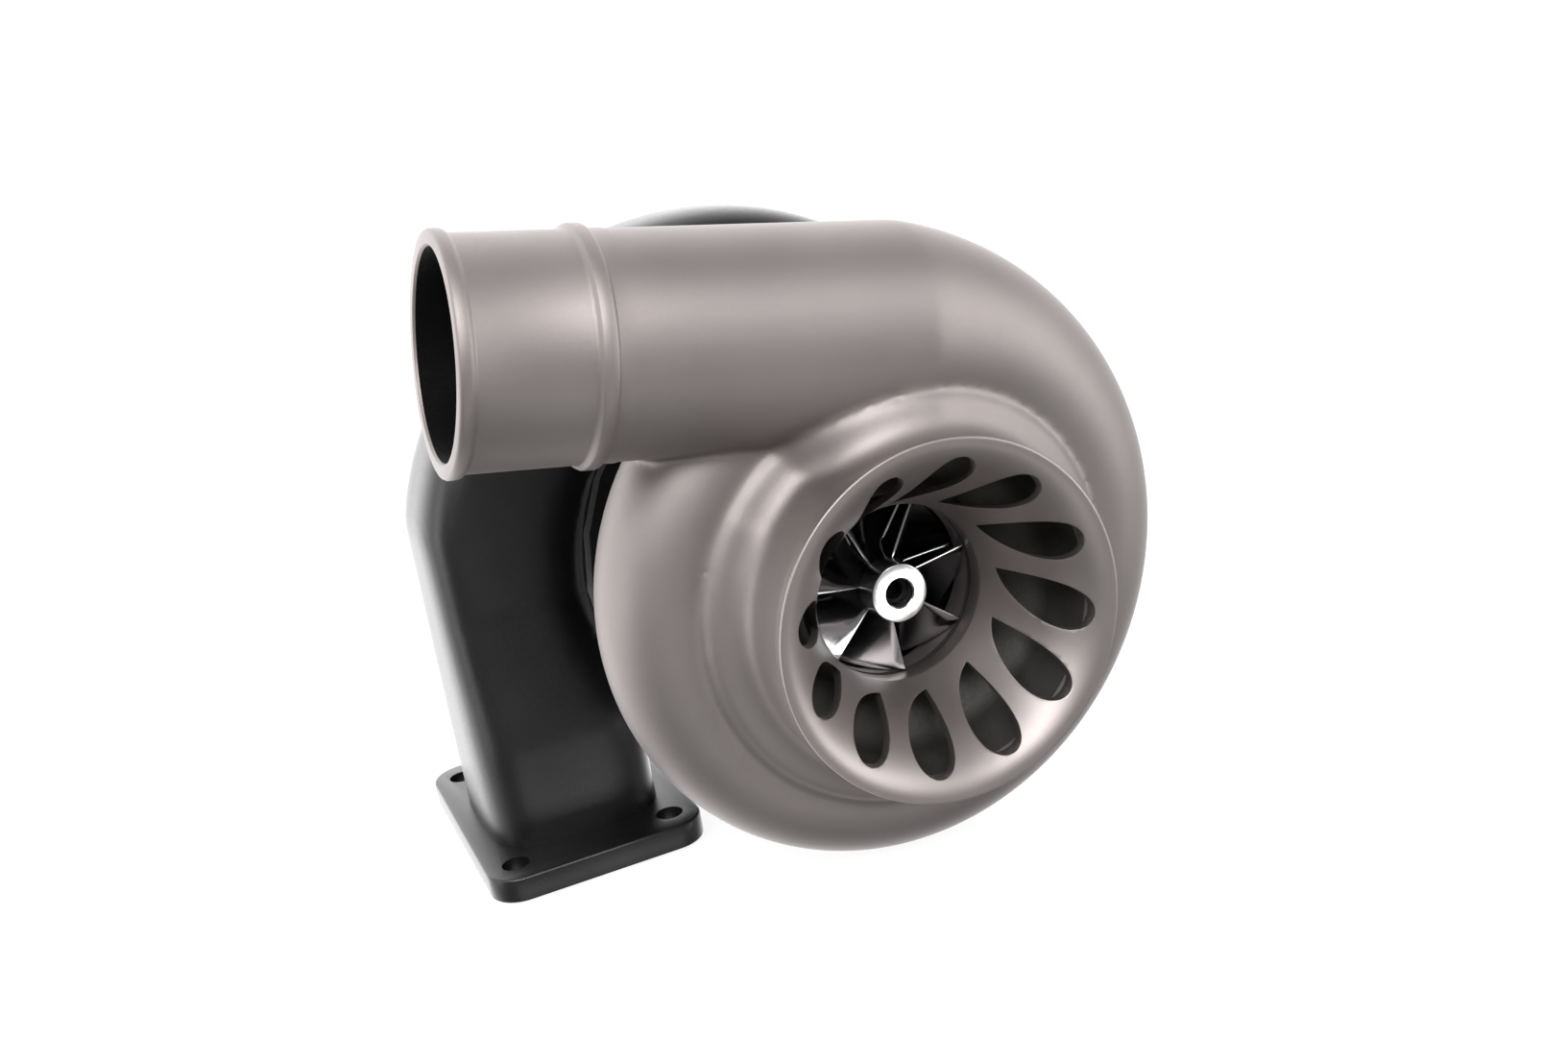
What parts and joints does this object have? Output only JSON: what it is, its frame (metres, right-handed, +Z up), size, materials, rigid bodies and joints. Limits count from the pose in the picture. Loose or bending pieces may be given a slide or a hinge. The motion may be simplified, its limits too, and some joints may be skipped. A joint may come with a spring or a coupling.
{
  "type": "turbocharger",
  "caption": "Twin-entry exhaust turbocharger: cast compressor scroll with a bell inlet and side outlet, bearing housing, iron turbine scroll on a foot flange, and a spinning rotor.",
  "frame": {"origin": "centre of the exhaust inlet flange's lower face, on the wall between its two ports", "axes": "+Z up, away from the exhaust manifold; +Y along the rotor's shaft towards the exhaust outlet; +X from the inlet duct towards the shaft"},
  "size_m": [0.266, 0.24, 0.2612],
  "materials": {
    "cast_aluminium": "bead-blasted casting, satin",
    "bell_aluminium": "turned, satin",
    "milled_aluminium": "five-axis milled, bright",
    "cast_iron": "dark satin casting",
    "steel": "ground",
    "bright_steel": "bright plated",
    "nickel_alloy": "investment cast, heat tinted",
    "bronze": "machined leaded bronze",
    "seal_rubber": "moulded",
    "gasket": "pressed fibre sheet",
    "sheet_steel": "pressed stainless sheet"
  },
  "bodies": {
    "casing": {"compressor_cover": "cast_aluminium", "inlet_bell": "bell_aluminium", "compressor_backplate": "bell_aluminium", "cover_o_ring": "seal_rubber", "seal_plate": "steel", "seal_plate_snap_ring": "steel", "compressor_clamp_band": "bright_steel", "compressor_clamp_bolt": "bright_steel", "compressor_clamp_nut": "bright_steel", "backplate_bolt_1": "steel", "backplate_bolt_2": "steel", "backplate_bolt_3": "steel", "backplate_bolt_4": "steel", "bearing_housing": "cast_iron", "thrust_bearing": "bronze", "bushing_spacer": "steel", "front_bushing_snap_ring": "steel", "rear_bushing_snap_ring": "steel", "oil_feed_fitting": "bright_steel", "oil_drain_gasket": "gasket", "oil_drain_flange": "cast_aluminium", "oil_drain_bolt_1": "bright_steel", "oil_drain_bolt_2": "bright_steel", "heat_shield": "sheet_steel", "turbine_retaining_ring": "bright_steel", "turbine_housing": "cast_iron", "compressor_seal_ring": "steel", "turbine_seal_ring": "steel"},
    "rotor": {"turbine_shaft": "steel", "turbine_wheel": "nickel_alloy", "compressor_wheel": "milled_aluminium", "compressor_nut": "bright_steel", "oil_flinger": "steel", "thrust_collar": "steel"},
    "front_bushing": {"front_journal_bushing": "bronze"},
    "rear_bushing": {"rear_journal_bushing": "bronze"}
  },
  "joints": [
    {"name": "rotor_spin", "type": "hinge", "parent": "casing", "child": "rotor", "pos_m": [0.11, 0, 0.1034], "axis": [0, 1, 0], "continuous": true},
    {"name": "front_bushing_float", "type": "hinge", "parent": "casing", "child": "front_bushing", "pos_m": [0.11, -0.0568, 0.1034], "axis": [0, 1, 0], "continuous": true},
    {"name": "rear_bushing_float", "type": "hinge", "parent": "casing", "child": "rear_bushing", "pos_m": [0.11, -0.0388, 0.1034], "axis": [0, 1, 0], "continuous": true}
  ],
  "couplings": [
    {"joint": "front_bushing_float", "follows": "rotor_spin", "ratio": 0.25},
    {"joint": "rear_bushing_float", "follows": "rotor_spin", "ratio": 0.25}
  ]
}
